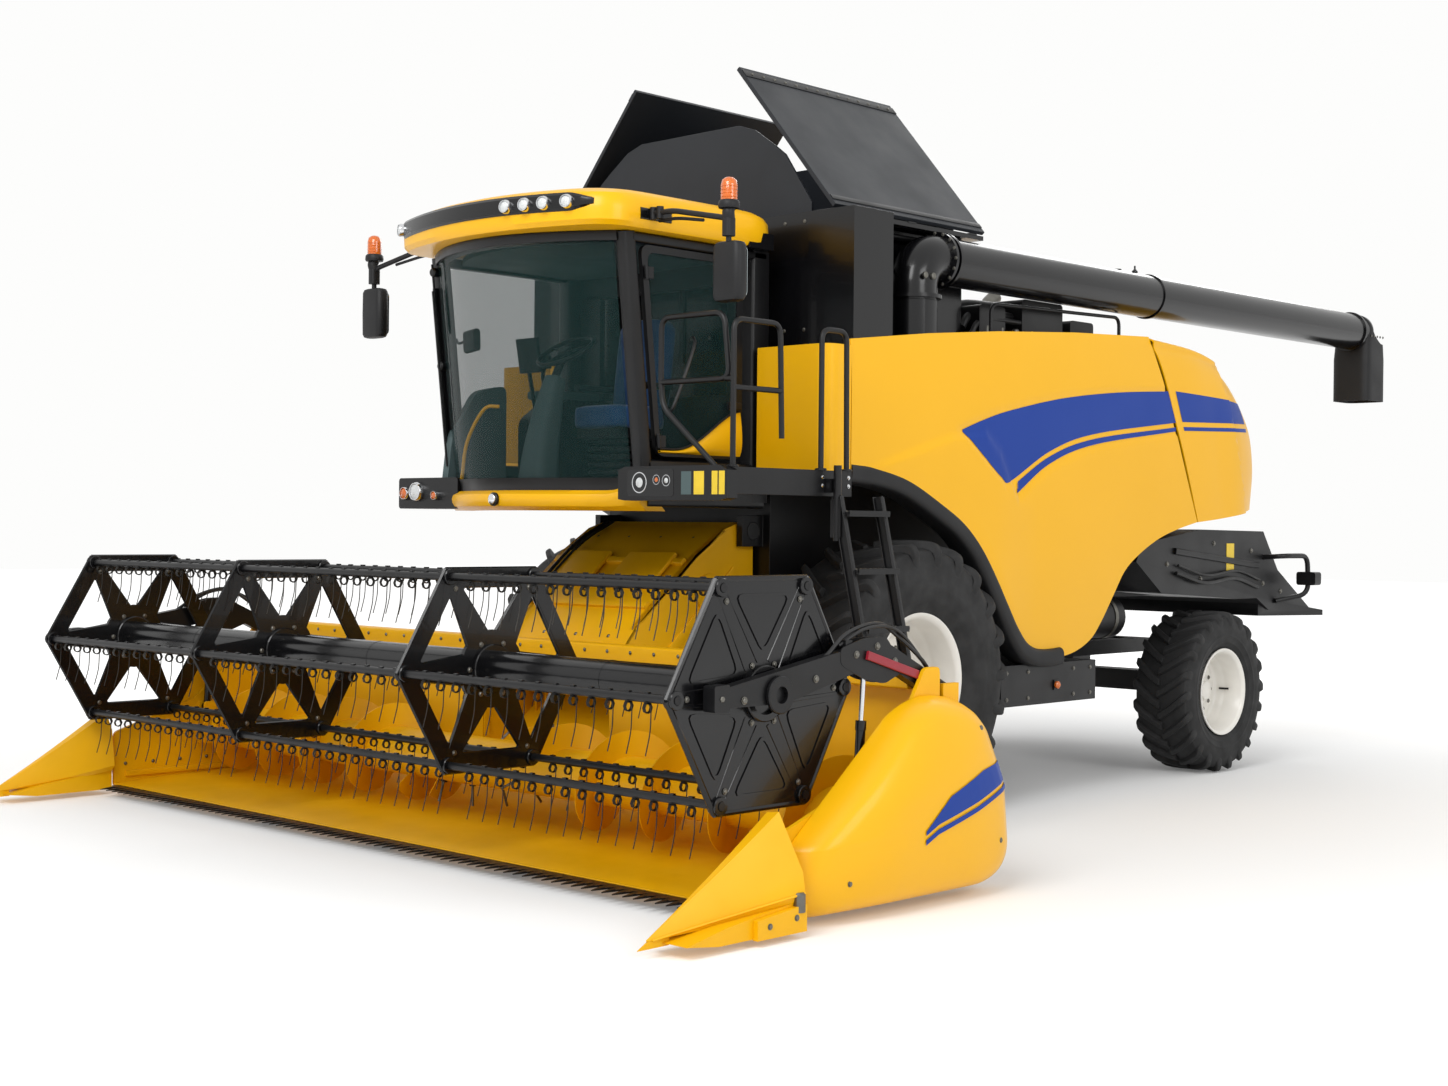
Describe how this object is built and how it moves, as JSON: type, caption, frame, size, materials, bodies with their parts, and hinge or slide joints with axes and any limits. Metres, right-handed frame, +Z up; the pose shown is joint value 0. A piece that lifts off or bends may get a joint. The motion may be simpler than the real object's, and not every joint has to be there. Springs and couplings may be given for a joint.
{
  "type": "combine harvester",
  "caption": "Self-propelled combine harvester with a reel header, cab, open grain tank covers, folded unloading tube, straw chopper and steered rear wheels.",
  "frame": {"origin": "on the ground under the middle of the whole machine with its header", "axes": "-Y is the driving direction, +X is the machine's left side with the door and ladder, +Z is up"},
  "size_m": [6.72, 10.67, 4.865],
  "materials": {
    "black_paint": "satin",
    "black_plastic": "matte",
    "chromed_rod": "polished",
    "cream_paint": "satin",
    "graphite_sheet": "satin",
    "seat_cloth": "woven",
    "tinted_glass": "clear",
    "tyre_rubber": "matte",
    "yellow_paint": "gloss",
    "yellow_plastic": "gloss"
  },
  "bodies": {
    "chassis": {"chassis_frame": "black_paint", "front_axle": "black_paint", "rear_axle": "black_paint", "thresher_casing": "black_paint", "engine_block": "black_paint", "straw_chopper": "black_paint", "left_front_panel": "yellow_plastic", "right_front_panel": "yellow_plastic", "rear_hood": "yellow_plastic", "grain_tank": "black_paint", "cab_shell": "black_paint", "cab_roof": "yellow_plastic", "windscreen": "tinted_glass", "right_cab_window": "tinted_glass", "operator_seat": "seat_cloth", "left_mirror": "black_plastic", "right_mirror": "black_plastic", "walkway": "black_paint"},
    "front_left_wheel": {"left_front_rim": "cream_paint", "left_front_tyre": "tyre_rubber"},
    "front_right_wheel": {"right_front_rim": "cream_paint", "right_front_tyre": "tyre_rubber"},
    "left_steering_post": {"left_steering_knuckle": "black_paint"},
    "right_steering_post": {"right_steering_knuckle": "black_paint"},
    "rear_left_wheel": {"left_rear_rim": "cream_paint", "left_rear_tyre": "tyre_rubber"},
    "rear_right_wheel": {"right_rear_rim": "cream_paint", "right_rear_tyre": "tyre_rubber"},
    "left_cover": {"left_tank_cover": "graphite_sheet"},
    "right_cover": {"right_tank_cover": "graphite_sheet"},
    "front_flap": {"front_tank_flap": "graphite_sheet"},
    "rear_flap": {"rear_tank_flap": "graphite_sheet"},
    "unloader": {"unloading_tube": "black_paint"},
    "door": {"cab_door": "tinted_glass"},
    "access_ladder": {"ladder": "black_paint"},
    "left_panel": {"left_side_panel": "yellow_plastic"},
    "right_panel": {"right_side_panel": "yellow_plastic"},
    "header": {"feeder_house": "yellow_paint", "header_frame": "yellow_paint", "left_end_shield": "yellow_plastic", "right_end_shield": "yellow_plastic", "left_crop_divider": "yellow_paint", "right_crop_divider": "yellow_paint", "cutterbar": "black_paint"},
    "lift_ram_barrels": {"lift_barrels": "black_paint"},
    "lift_ram_rods": {"lift_rods": "chromed_rod"},
    "auger": {"header_auger": "yellow_paint"},
    "reel_arms": {"left_reel_arm": "black_paint", "right_reel_arm": "black_paint"},
    "reel_ram_barrels": {"left_reel_barrel": "black_paint", "right_reel_barrel": "black_paint"},
    "reel_ram_rods": {"left_reel_rod": "chromed_rod", "right_reel_rod": "chromed_rod"},
    "reel_rotor": {"reel": "black_paint"},
    "tines_1": {"tine_bar_1": "black_paint"},
    "tines_2": {"tine_bar_2": "black_paint"},
    "tines_3": {"tine_bar_3": "black_paint"},
    "tines_4": {"tine_bar_4": "black_paint"},
    "tines_5": {"tine_bar_5": "black_paint"},
    "tines_6": {"tine_bar_6": "black_paint"}
  },
  "joints": [
    {"name": "front_left_wheel_spin", "type": "hinge", "parent": "chassis", "child": "front_left_wheel", "pos_m": [1.3, -1.385, 0.90221], "axis": [1, 0, 0], "continuous": true},
    {"name": "front_right_wheel_spin", "type": "hinge", "parent": "chassis", "child": "front_right_wheel", "pos_m": [-1.3, -1.385, 0.90221], "axis": [1, 0, 0], "continuous": true},
    {"name": "steering", "type": "hinge", "parent": "chassis", "child": "left_steering_post", "pos_m": [1.01, 2.475, 0.62659], "axis": [0, 0, 1], "range_deg": [-35, 35]},
    {"name": "right_steering", "type": "hinge", "parent": "chassis", "child": "right_steering_post", "pos_m": [-1.01, 2.475, 0.62659], "axis": [0, 0, 1], "range_deg": [-35, 35]},
    {"name": "rear_left_wheel_spin", "type": "hinge", "parent": "left_steering_post", "child": "rear_left_wheel", "pos_m": [1.315, 2.475, 0.62659], "axis": [1, 0, 0], "continuous": true},
    {"name": "rear_right_wheel_spin", "type": "hinge", "parent": "right_steering_post", "child": "rear_right_wheel", "pos_m": [-1.315, 2.475, 0.62659], "axis": [1, 0, 0], "continuous": true},
    {"name": "tank_covers", "type": "hinge", "parent": "chassis", "child": "left_cover", "pos_m": [1.31, -1.21, 3.866], "axis": [0, -1, 0], "range_deg": [0, 49]},
    {"name": "right_cover_hinge", "type": "hinge", "parent": "chassis", "child": "right_cover", "pos_m": [-1.31, -1.21, 3.866], "axis": [0, 1, 0], "range_deg": [0, 49]},
    {"name": "front_flap_hinge", "type": "hinge", "parent": "chassis", "child": "front_flap", "pos_m": [0, -1.935, 3.796], "axis": [-1, 0, 0], "range_deg": [0, 148]},
    {"name": "rear_flap_hinge", "type": "hinge", "parent": "chassis", "child": "rear_flap", "pos_m": [0, -0.485, 3.796], "axis": [1, 0, 0], "range_deg": [0, 148]},
    {"name": "unloading_swing", "type": "hinge", "parent": "chassis", "child": "unloader", "pos_m": [1.33, -1.205, 3.35], "axis": [0, 0, -1], "range_deg": [0, 105]},
    {"name": "cab_door_hinge", "type": "hinge", "parent": "chassis", "child": "door", "pos_m": [0.933, -3.15238, 2.83], "axis": [0, 0.1118, -0.9937], "range_deg": [0, 70]},
    {"name": "ladder_swing", "type": "hinge", "parent": "chassis", "child": "access_ladder", "pos_m": [1.862, -2.555, 1.5], "axis": [0, 0, -1], "range_deg": [0, 170]},
    {"name": "left_panel_hinge", "type": "hinge", "parent": "chassis", "child": "left_panel", "pos_m": [1.505, -0.505, 3.2], "axis": [0, -0.9967, -0.0808], "range_deg": [0, 55]},
    {"name": "right_panel_hinge", "type": "hinge", "parent": "chassis", "child": "right_panel", "pos_m": [-1.505, -0.505, 3.2], "axis": [0, 0.9967, 0.0808], "range_deg": [0, 55]},
    {"name": "header_lift", "type": "hinge", "parent": "chassis", "child": "header", "pos_m": [0, -2.025, 1.85], "axis": [-1, 0, 0], "range_deg": [0, 18]},
    {"name": "lift_barrel_pivot", "type": "hinge", "parent": "chassis", "child": "lift_ram_barrels", "pos_m": [0, -1.6, 0.64], "axis": [-1, 0, 0], "range_deg": [0, 12]},
    {"name": "lift_rod_slide", "type": "slide", "parent": "lift_ram_barrels", "child": "lift_ram_rods", "axis": [0, -0.9983, -0.0582], "range_m": [0, 0.38]},
    {"name": "auger_spin", "type": "hinge", "parent": "header", "child": "auger", "pos_m": [0, -3.585, 0.425], "axis": [1, 0, 0], "continuous": true},
    {"name": "reel_lift", "type": "hinge", "parent": "header", "child": "reel_arms", "pos_m": [0, -3.065, 1.02], "axis": [-1, 0, 0], "range_deg": [0, 12]},
    {"name": "reel_barrel_pivot", "type": "hinge", "parent": "header", "child": "reel_ram_barrels", "pos_m": [0, -3.73, 0.56], "axis": [-1, 0, 0], "range_deg": [0, 4]},
    {"name": "reel_rod_slide", "type": "slide", "parent": "reel_ram_barrels", "child": "reel_ram_rods", "axis": [0, 0.0582, 0.9983], "range_m": [0, 0.135]},
    {"name": "reel_spin", "type": "hinge", "parent": "reel_arms", "child": "reel_rotor", "pos_m": [0, -4.351, 1.089], "axis": [1, 0, 0], "continuous": true},
    {"name": "tine_bar_1_turn", "type": "hinge", "parent": "reel_rotor", "child": "tines_1", "pos_m": [0, -3.767, 1.089], "axis": [1, 0, 0], "continuous": true},
    {"name": "tine_bar_2_turn", "type": "hinge", "parent": "reel_rotor", "child": "tines_2", "pos_m": [0, -4.059, 1.59476], "axis": [1, 0, 0], "continuous": true},
    {"name": "tine_bar_3_turn", "type": "hinge", "parent": "reel_rotor", "child": "tines_3", "pos_m": [0, -4.643, 1.59476], "axis": [1, 0, 0], "continuous": true},
    {"name": "tine_bar_4_turn", "type": "hinge", "parent": "reel_rotor", "child": "tines_4", "pos_m": [0, -4.935, 1.089], "axis": [1, 0, 0], "continuous": true},
    {"name": "tine_bar_5_turn", "type": "hinge", "parent": "reel_rotor", "child": "tines_5", "pos_m": [0, -4.643, 0.58324], "axis": [1, 0, 0], "continuous": true},
    {"name": "tine_bar_6_turn", "type": "hinge", "parent": "reel_rotor", "child": "tines_6", "pos_m": [0, -4.059, 0.58324], "axis": [1, 0, 0], "continuous": true}
  ],
  "couplings": [
    {"joint": "right_steering", "follows": "steering", "ratio": 1},
    {"joint": "right_cover_hinge", "follows": "tank_covers", "ratio": 1},
    {"joint": "front_flap_hinge", "follows": "tank_covers", "ratio": 3},
    {"joint": "rear_flap_hinge", "follows": "tank_covers", "ratio": 3},
    {"joint": "lift_barrel_pivot", "follows": "header_lift", "ratio": 0.63677},
    {"joint": "lift_rod_slide", "follows": "header_lift", "m_per_rad": 1.1882},
    {"joint": "reel_barrel_pivot", "follows": "reel_lift", "ratio": 0.23066},
    {"joint": "reel_rod_slide", "follows": "reel_lift", "m_per_rad": 0.62576},
    {"joint": "tine_bar_1_turn", "follows": "reel_spin", "ratio": -1},
    {"joint": "tine_bar_2_turn", "follows": "reel_spin", "ratio": -1},
    {"joint": "tine_bar_3_turn", "follows": "reel_spin", "ratio": -1},
    {"joint": "tine_bar_4_turn", "follows": "reel_spin", "ratio": -1},
    {"joint": "tine_bar_5_turn", "follows": "reel_spin", "ratio": -1},
    {"joint": "tine_bar_6_turn", "follows": "reel_spin", "ratio": -1}
  ]
}
